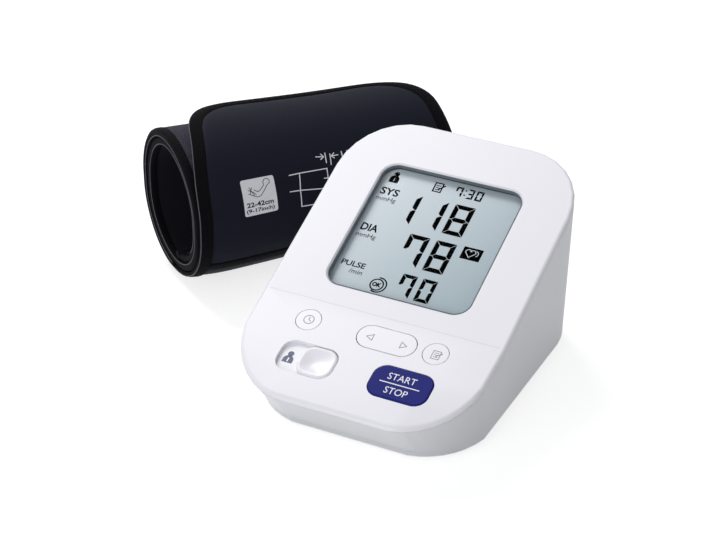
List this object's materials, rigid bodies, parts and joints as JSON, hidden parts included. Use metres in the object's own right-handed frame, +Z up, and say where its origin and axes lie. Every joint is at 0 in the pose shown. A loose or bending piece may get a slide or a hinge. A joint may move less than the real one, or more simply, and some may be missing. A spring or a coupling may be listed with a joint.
{
  "type": "upper-arm blood pressure monitor with rolled cuff",
  "caption": "Desktop upper-arm blood pressure monitor with sloping display and key faces, beside a separate rolled wrap cuff with a free end that peels open.",
  "frame": {"origin": "on the table, under the middle of the bounding box of the monitor and its cuff", "axes": "+Z up, -Y towards the user in front of the keys, +X to the user's right"},
  "size_m": [0.2088, 0.2186, 0.0794],
  "materials": {
    "cover_white": "satin gloss",
    "case_white": "fine matte",
    "window_clear": "clear gloss",
    "lcd_grey": "grey reflective display",
    "dark_plastic": "matte",
    "key_white": "satin gloss",
    "key_navy": "satin gloss",
    "rubber_dark": "matte",
    "rubber_grey": "matte",
    "board_green": "solder mask",
    "steel": "plated",
    "contact_metal": "nickel plated",
    "cell_wrap": "gloss wrap",
    "inner_plastic": "natural",
    "cuff_cloth": "close woven",
    "cuff_loop": "brushed loop",
    "cuff_braid": "ribbed braid",
    "cuff_print": "smooth coated cloth",
    "hook_black": "hook tape",
    "bladder_film": "thin film",
    "curler_sheet": "semi-clear sheet"
  },
  "bodies": {
    "monitor": {"front_cover": "cover_white", "display_window": "window_clear", "lcd_panel": "lcd_grey", "lcd_frame": "dark_plastic", "lcd_connector": "rubber_dark", "slide_switch": "dark_plastic", "circuit_board": "board_green", "tact_switches": "dark_plastic", "board_chips": "dark_plastic", "board_screws": "steel", "lower_case": "case_white", "aa_cells": "cell_wrap", "battery_plates": "contact_metal", "battery_springs": "contact_metal", "rubber_feet": "rubber_grey", "case_screws": "steel", "pump_motor": "steel", "pump_cushion": "rubber_dark", "pump_head": "inner_plastic", "air_manifold": "inner_plastic", "air_jack": "inner_plastic", "release_valve": "dark_plastic", "pressure_sensor": "dark_plastic", "adapter_jack": "dark_plastic"},
    "clock_key": {"clock_button": "key_white"},
    "memory_key": {"memory_button": "key_white"},
    "start_key": {"start_stop_button": "key_navy"},
    "rocker": {"arrow_rocker": "key_white"},
    "user_switch": {"user_switch_knob": "key_white", "user_switch_slider": "dark_plastic"},
    "battery_door": {"battery_cover": "case_white"},
    "rotor": {"pump_rotor": "steel"},
    "plunger": {"valve_plunger": "steel"},
    "cuff": {"cuff_outer_cloth": "cuff_loop", "cuff_edge_binding": "cuff_braid", "cuff_lining": "cuff_cloth", "cuff_curler": "curler_sheet", "cuff_bladder": "bladder_film", "cuff_panel": "cuff_print", "cuff_hose_port": "hook_black"},
    "cuff_free_end": {"cuff_flap": "cuff_print", "cuff_hook_pad": "hook_black"}
  },
  "joints": [
    {"name": "clock_press", "type": "slide", "parent": "monitor", "child": "clock_key", "axis": [0, 0.3201, -0.9474], "range_m": [0, 0.0008], "stiffness_N_per_m": 1500},
    {"name": "memory_press", "type": "slide", "parent": "monitor", "child": "memory_key", "axis": [0, 0.3201, -0.9474], "range_m": [0, 0.0008], "stiffness_N_per_m": 1500},
    {"name": "start_stop_press", "type": "slide", "parent": "monitor", "child": "start_key", "axis": [0, 0.3201, -0.9474], "range_m": [0, 0.0008], "stiffness_N_per_m": 1500},
    {"name": "rocker_tilt", "type": "hinge", "parent": "monitor", "child": "rocker", "pos_m": [0.05767, -0.07049, 0.03481], "axis": [0, 0.9474, 0.3201], "range_deg": [-3, 3], "stiffness_Nm_per_rad": 0.08},
    {"name": "user_switch_slide", "type": "slide", "parent": "monitor", "child": "user_switch", "axis": [-1, 0, 0], "range_m": [0, 0.0088]},
    {"name": "battery_cover_hinge", "type": "hinge", "parent": "monitor", "child": "battery_door", "pos_m": [0.05087, -0.05635, 0.0018], "axis": [-1, 0, 0], "range_deg": [0, 70]},
    {"name": "pump_rotor_spin", "type": "hinge", "parent": "monitor", "child": "rotor", "pos_m": [0.05087, 0.0112, 0.0345], "axis": [1, 0, 0], "continuous": true},
    {"name": "valve_plunger_slide", "type": "slide", "parent": "monitor", "child": "plunger", "axis": [0, 0, -1], "range_m": [0, 0.0012], "stiffness_N_per_m": 200},
    {"name": "cuff_lift", "type": "slide", "parent": "monitor", "child": "cuff", "axis": [0, 0, 1], "range_m": [0, 0.12]},
    {"name": "cuff_free_end_peel", "type": "hinge", "parent": "cuff", "child": "cuff_free_end", "pos_m": [-0.01851, 0.02449, 0.05494], "axis": [0.5764, 0.8151, -0.058], "range_deg": [0, 55]}
  ]
}
